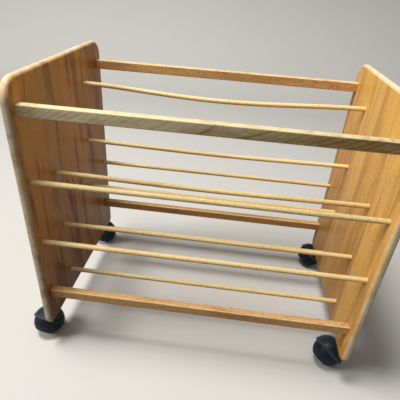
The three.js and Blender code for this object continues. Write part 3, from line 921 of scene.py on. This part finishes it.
def dowel_mesh(node, chamfer=0.0012, painted_top_sheen=0.6, segments=28, steps=36):
    """A round bar that follows its sag, with straight chamfered ends inside its holes and a painted
    highlight on its top.
    """
    radius, y, height, sag = dowel_facts(node)
    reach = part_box(node)[1].x
    ends = [(reach, radius - chamfer), (reach - chamfer, radius)]
    span = [(INNER_FACE * (2 * i / steps - 1), radius) for i in range(steps + 1)]
    stations = [(-x, r) for x, r in ends] + span + [(x, r) for x, r in reversed(ends)]
    turns = full_turn(segments)
    loops, places, wear = [], [], []
    for x, r in stations:
        along = min(1.0, max(0.0, x / (2 * INNER_FACE) + 0.5))
        drop = sag * 16 * along**2 * (1 - along) ** 2
        loops.append([(x, y + r * cos(t), height - drop + r * sin(t)) for t in turns])
        places += [(x, r * cos(t), r * sin(t)) for t in turns]
        # Painted highlight on the dowel's top, stored as wear.
        wear += [painted_top_sheen * max(0.0, sin(t)) ** 2 for t in turns]
    return skin(node + "_visual", loops), places, wear


class BOOKBIN_OT_dowels(bpy.types.Operator):
    """Build the twelve dowels, some of them sagged"""

    bl_idname = "book_bin.dowels"
    bl_label = "Dowels"

    def execute(self, context):
        finish = context.scene.book_bin_finish
        wood = bar_wood("Dowel wood", finish, finish.dowel_light, finish.dowel_dark, **DOWEL_FIGURE)
        for index, node in enumerate(DOWELS):
            mesh, places, wear = dowel_mesh(node)
            finish_stick(mesh, places, wear, (index * DOWEL_TONE_STEP) % 1.0)
            stand_for(mesh, node, ROOT, wood)
        return {"FINISHED"}


# Casters


class CasterPlan:
    """Sizes of the casters that follow from the joints.

    They are in a frame with the stem on Z and the ball towards +X."""

    def __init__(self, sizes):
        stem = Vector(JOINTS["front_left_caster_swivel"]["pos_m"])
        ball = Vector(JOINTS["front_left_wheel_roll"]["pos_m"])
        axis = Vector(JOINTS["front_left_wheel_roll"]["axis"])
        self.wheel_radius = ball.z
        self.trail = (ball - stem).xy.length
        self.slope = asin(-axis.z)
        self.hood_inner = self.wheel_radius + sizes.hood_gap
        self.hood_outer = self.hood_inner + sizes.hood_wall
        self.boss_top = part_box("caster_hood_front_left")[1].z
        seat_offset = self.trail - sizes.stem_seat
        self.seat_floor = self.wheel_radius + sqrt(max(0.0, self.hood_outer**2 - seat_offset**2))
        axle = Matrix.Rotation(-QUARTER - self.slope, 4, "X")
        self.on_axle = Matrix.Translation((self.trail, 0.0, self.wheel_radius)) @ axle


def caster_place(corner):
    """From the casters' common frame to one corner of the bin."""
    stem = Vector(JOINTS[corner + "_caster_swivel"]["pos_m"])
    ball = Vector(JOINTS[corner + "_wheel_roll"]["pos_m"])
    trail = ball - stem
    return Matrix.Translation((stem.x, stem.y, 0.0)) @ Matrix.Rotation(atan2(trail.y, trail.x), 4, "Z")


def copy_to_corners(kind, master, place, body, material):
    """Puts a copy of a caster's piece at each corner, on the body that carries it there."""
    smooth(master)
    for corner in CORNERS:
        mesh = master.copy()
        mesh.transform(caster_place(corner) @ place)
        node = f"caster_{kind}_{corner}"
        stand_for(mesh, node, f"{corner}_{body}", material)


def hood_outside(plan, sizes, segments=72, bead_steps=6):
    """The half ball about the axle, with two beads round its rim."""
    bead = sizes.bead_width
    edge = -asin(2 * bead / plan.hood_outer)
    profile = [(0.0, -plan.hood_outer)]
    profile += arc(plan.hood_outer, -QUARTER, edge, steps=22)[1:-1]
    for end in (-bead, 0.0):
        for i in range(bead_steps + 1):
            turn = pi * i / bead_steps
            rise = sizes.bead_height * sin(turn)
            profile.append((plan.hood_outer + rise, end - bead * (1 + cos(turn)) / 2))
    profile += [(0.0, 0.0)]
    return lathe("hood_outside", profile, segments)


def hood_inside(plan, sizes, segments=72):
    """The ball of space for the wheel, round the axle's boss."""
    root = -acos(sizes.axle_boss / plan.hood_inner)
    profile = [(0.0, -sizes.axle_boss_end), (sizes.axle_boss, -sizes.axle_boss_end)]
    profile += arc(plan.hood_inner, root, QUARTER, steps=30)[:-1]
    profile += [(0.0, plan.hood_inner)]
    return lathe("hood_inside", profile, segments)


def stem_boss(plan, sizes, taper=0.014, foot=0.003, segments=48):
    """The upright boss that holds the stem, with an eased top and a tapered foot."""
    top, low = plan.boss_top, plan.seat_floor - taper
    ease = sizes.stem_boss_round
    profile = [(0.0, low), (foot, low), (sizes.stem_boss, plan.seat_floor)]
    profile += [(sizes.stem_boss - ease + r, top - ease + h) for r, h in arc(ease, 0.0, QUARTER, steps=4)]
    profile += [(0.0, top)]
    return lathe("stem_boss", profile, segments)


def hood_mesh(plan, sizes, axle_overrun=0.001, segments=40):
    """The hood in the casters' common frame: shell, stem boss and axle boss, with both seats bored."""
    outside = hood_outside(plan, sizes)
    inside = hood_inside(plan, sizes)
    axle_hole = round_bar("axle_hole", sizes.axle_seat, -sizes.axle_depth, axle_overrun, segments)
    for about_axle in (outside, inside, axle_hole):
        about_axle.transform(plan.on_axle)
    stem_top = plan.boss_top + DRILL_OVERRUN
    stem_hole = round_bar("stem_hole", sizes.stem_seat, plan.seat_floor, stem_top, segments)
    shell = carve("hood", outside, stem_boss(plan, sizes), "UNION")
    for tool in (inside, axle_hole, stem_hole):
        shell = carve("hood", shell, tool, "DIFFERENCE")
    return shell


class BOOKBIN_OT_caster_hoods(bpy.types.Operator):
    """Build the domed caster hoods with their beaded rims"""

    bl_idname = "book_bin.caster_hoods"
    bl_label = "Caster hoods"

    def execute(self, context):
        sizes, finish = settings(context)
        plan = CasterPlan(sizes)
        plastic = moulded("Hood plastic", finish.hood, finish.hood_worn, gloss=0.30)
        hood = hood_mesh(plan, sizes)
        from_axle = plan.on_axle.inverted()
        local = [from_axle @ vertex.co for vertex in hood.vertices]
        outer = plan.hood_outer + sizes.bead_height / 2
        worn = [1.0 if p.length > outer and p.z > -RIM_WEAR_DEPTH else 0.0 for p in local]
        set_values(hood, "wear_and_top_sheen", worn)
        copy_to_corners("hood", hood, Matrix(), "swivel", plastic)
        return {"FINISHED"}


def wheel_profile(
    plan, sizes, hub=0.009, tuck=0.003, face_land=0.0046, face_rim=0.006, step=0.0009,
    lip=(0.0008, 0.0005), grooves=(0.30, 0.62), groove_half=0.0005, groove_depth=0.0006,
):
    """The cup wheel about its axle: hub, inside, rim, straight tread, ringed face and recesses."""
    radius = plan.wheel_radius
    tread = atan(sizes.tread_width / 2 / radius)
    tread_edge = hypot(radius, sizes.tread_width / 2)
    face_angle = plan.slope + tread + face_land / radius
    face, face_radius = radius * sin(face_angle), radius * cos(face_angle)
    floor = face - step
    cap_seat = floor + sizes.cap_proud - sizes.cap_thickness
    head_seat = cap_seat - sizes.axle_head - 2 * sizes.joint_gap
    inner, web = radius - sizes.wheel_wall, head_seat - sizes.wheel_wall
    start = -asin(tuck / radius)
    hub_end = sizes.joint_gap - sizes.axle_boss_end
    ring = face_radius - face_rim
    recess = sizes.cap_radius + sizes.joint_gap
    profile = [(sizes.axle_seat, hub_end), (hub, hub_end), (hub, web)]
    profile += arc(inner, asin(web / inner), start, steps=16)
    profile += arc(radius, start, plan.slope - 2 * tread, steps=10)
    profile += arc(tread_edge, plan.slope - tread, plan.slope + tread, steps=1)
    profile += [(face_radius + lip[0], face - lip[1]), (face_radius, face)]
    for groove in grooves:
        middle = face_radius - groove * face_rim
        profile += [(middle + groove_half, face), (middle, face - groove_depth)]
        profile += [(middle - groove_half, face)]
    profile += [(ring, face), (ring - step, floor), (recess, floor), (recess, cap_seat)]
    profile += [(sizes.head_recess, cap_seat), (sizes.head_recess, head_seat), (sizes.axle_seat, head_seat)]
    return profile, cap_seat


def cap_profile(sizes, cap_seat, ease=0.0008, dimple=0.0006, dimple_top=0.0042, dimple_floor=0.0032):
    """A low hub cap with an eased edge and a dimple in its middle."""
    bottom, top = cap_seat + sizes.joint_gap, cap_seat + sizes.cap_thickness
    edge = [(sizes.cap_radius - ease + r, top - ease + h) for r, h in arc(ease, 0.0, QUARTER, steps=5)]
    middle = [(dimple_top, top), (dimple_floor, top - dimple), (0.0, top - dimple)]
    return [(0.0, bottom), (sizes.cap_radius, bottom)] + edge + middle


class BOOKBIN_OT_caster_wheels(bpy.types.Operator):
    """Build the cup wheels and their hub caps"""

    bl_idname = "book_bin.caster_wheels"
    bl_label = "Caster wheels"

    def execute(self, context):
        sizes, finish = settings(context)
        plan = CasterPlan(sizes)
        tread = moulded("Wheel plastic", finish.wheel, finish.wheel_worn, gloss=0.36)
        gloss = moulded("Cap plastic", finish.cap, finish.cap_worn, gloss=0.22)
        profile, cap_seat = wheel_profile(plan, sizes)
        wheel = lathe("wheel", profile, segments=80)
        low, high = plan.slope - TREAD_WEAR_ANGLE, plan.slope + TREAD_WEAR_ANGLE
        outer = plan.wheel_radius - sizes.wheel_wall / 2
        turns = [(v.co.length > outer, atan2(v.co.z, v.co.xy.length)) for v in wheel.vertices]
        worn = [1.0 if out and low < turn < high else 0.0 for out, turn in turns]
        set_values(wheel, "wear_and_top_sheen", worn)
        cap = lathe("cap", cap_profile(sizes, cap_seat), segments=64)
        set_values(cap, "wear_and_top_sheen", [CAP_WEAR] * len(cap.vertices))
        copy_to_corners("wheel", wheel, plan.on_axle, "roller", tread)
        copy_to_corners("hub_cap", cap, plan.on_axle, "roller", gloss)
        return {"FINISHED"}


class BOOKBIN_OT_caster_steel(bpy.types.Operator):
    """Finish the stems, sockets and axles in plated steel"""

    bl_idname = "book_bin.caster_steel"
    bl_label = "Caster steel"

    def execute(self, context):
        steel = plated_steel("Plated steel", context.scene.book_bin_finish.steel)
        for kind in ("stem", "socket", "axle"):
            for corner in CORNERS:
                node = frame["nodes"][f"caster_{kind}_{corner}"]
                node.data.materials.clear()
                node.data.materials.append(steel)
        return {"FINISHED"}


# Stage


def sweep_floor(half_width, front, back, height, bend, steps=16):
    """A floor that curves up into a backdrop, as one sheet."""
    line = [(front, 0.0), (back - bend, 0.0)]
    for i in range(1, steps + 1):
        turn = QUARTER * i / steps
        line.append((back - bend + bend * sin(turn), bend * (1 - cos(turn))))
    line.append((back, height))
    points = [(x, y, z) for y, z in line for x in (-half_width, half_width)]
    faces = [(2 * i, 2 * i + 1, 2 * i + 3, 2 * i + 2) for i in range(len(line) - 1)]
    return mesh_from("studio_floor", points, faces)


def area_light(name, place, size, power, color):
    lamp = bpy.data.lights.new(name, "AREA")
    lamp.shape = "DISK"
    lamp.size = size
    lamp.energy = power
    lamp.color = color
    light = add_object(name, lamp)
    light.location = place
    light.rotation_euler = (LAMP_AIM - Vector(place)).to_track_quat("-Z", "Y").to_euler()


def make_camera():
    lens = bpy.data.cameras.new("Camera")
    lens.sensor_width = CAMERA_SENSOR
    lens.lens = CAMERA_LENS
    camera = add_object("Camera", lens)
    turn = CAMERA_FORWARD.to_track_quat("-Z", "Y").to_matrix().to_4x4()
    roll = Matrix.Rotation(CAMERA_ROLL, 4, "Z")
    camera.matrix_world = Matrix.Translation(CAMERA_PLACE) @ turn @ roll
    bpy.context.scene.camera = camera


class BOOKBIN_OT_stage(bpy.types.Operator):
    """Set the pale floor, the soft studio light and the camera"""

    bl_idname = "book_bin.stage"
    bl_label = "Stage"

    def execute(self, context):
        scene = context.scene
        sheet = sweep_floor(half_width=6.0, front=-5.0, back=3.2, height=4.0, bend=1.0)
        floor = add_object("studio_floor", sheet)
        floor.data.shade_smooth()
        floor.data.materials.append(studio_surface("Studio paper", scene.book_bin_finish.floor))
        scene.world = bpy.data.worlds.new("Studio")
        scene.world.use_nodes = True
        tree = scene.world.node_tree
        strength = remap(tree, seen_rays(tree), 0.0, 1.0, SKY_LIGHT, SKY_SEEN)
        feed(tree, tree.nodes["Background"], {"Color": rgba(SKY_COLOR), "Strength": strength})
        for name, lamp in LAMPS.items():
            area_light(name, **lamp)
        make_camera()
        scene.view_settings.view_transform = "Standard"
        return {"FINISHED"}


OPERATORS = (
    BOOKBIN_OT_stage,
    BOOKBIN_OT_side_panels,
    BOOKBIN_OT_rails,
    BOOKBIN_OT_dowels,
    BOOKBIN_OT_caster_hoods,
    BOOKBIN_OT_caster_wheels,
    BOOKBIN_OT_caster_steel,
)


class VIEW3D_PT_book_bin(bpy.types.Panel):
    """Lists the steps that build the bin, with its sizes and colours."""

    bl_label = "Book browser bin"
    bl_space_type = "VIEW_3D"
    bl_region_type = "UI"
    bl_category = "Book bin"

    def draw(self, context):
        for step in OPERATORS:
            self.layout.operator(step.bl_idname)
        for group in settings(context):
            box = self.layout.box()
            for name in group.__annotations__:
                box.prop(group, name)


CLASSES = (BookBinSizes, BookBinFinish, *OPERATORS, VIEW3D_PT_book_bin)


def register():
    for made in CLASSES:
        bpy.utils.register_class(made)
    bpy.types.Scene.book_bin_sizes = bpy.props.PointerProperty(type=BookBinSizes)
    bpy.types.Scene.book_bin_finish = bpy.props.PointerProperty(type=BookBinFinish)


def unregister():
    del bpy.types.Scene.book_bin_finish
    del bpy.types.Scene.book_bin_sizes
    for made in reversed(CLASSES):
        bpy.utils.unregister_class(made)


def main():
    register()
    for step in OPERATORS:
        family, name = step.bl_idname.split(".")
        getattr(getattr(bpy.ops, family), name)()


if __name__ == "__main__":
    main()
